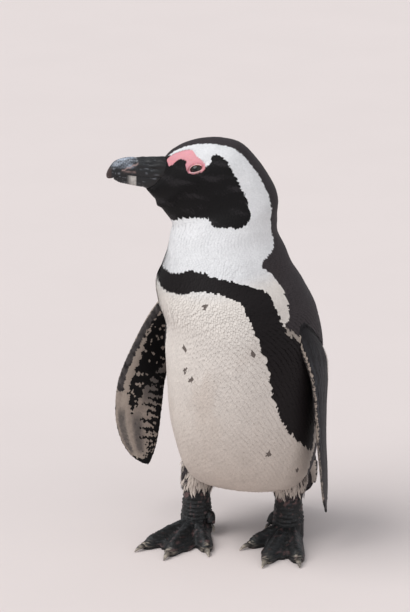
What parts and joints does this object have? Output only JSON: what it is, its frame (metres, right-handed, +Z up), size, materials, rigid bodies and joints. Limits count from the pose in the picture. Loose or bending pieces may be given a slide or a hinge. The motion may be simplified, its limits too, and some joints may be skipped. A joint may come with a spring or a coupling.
{
  "type": "african penguin",
  "caption": "Standing African penguin as a still life-size model: feathered body, head turned to its right, hooked bill, hanging flippers, short tail and webbed clawed feet.",
  "frame": {"origin": "middle of the box round the bird, at floor level", "axes": "+Z up; the trunk faces -Y; +X is the bird's left side; the head is turned 60 degrees to the bird's right"},
  "size_m": [0.2505, 0.2193, 0.454],
  "materials": {
    "plumage": "short overlapping feathers, black and white, dull",
    "eye": "wet and glossy, dark brown",
    "bill_horn": "grooved horn, satin, black with a paler band",
    "foot_skin": "scaly black skin with paler blotches",
    "claw_horn": "dark horn, satin"
  },
  "bodies": {
    "root": {"trunk": "plumage", "neck": "plumage", "head": "plumage", "flipper_right": "plumage", "flipper_left": "plumage", "tail": "plumage", "shin_right": "plumage", "shin_left": "plumage", "eye_left": "eye", "eye_right": "eye", "bill_upper": "bill_horn", "bill_lower": "bill_horn", "tarsus_right": "foot_skin", "foot_right": "foot_skin", "hind_toe_right": "foot_skin", "hind_claw_right": "claw_horn", "claw_outer_right": "claw_horn", "claw_middle_right": "claw_horn", "claw_inner_right": "claw_horn", "tarsus_left": "foot_skin", "foot_left": "foot_skin", "hind_toe_left": "foot_skin", "hind_claw_left": "claw_horn", "claw_outer_left": "claw_horn", "claw_middle_left": "claw_horn", "claw_inner_left": "claw_horn"}
  },
  "joints": []
}
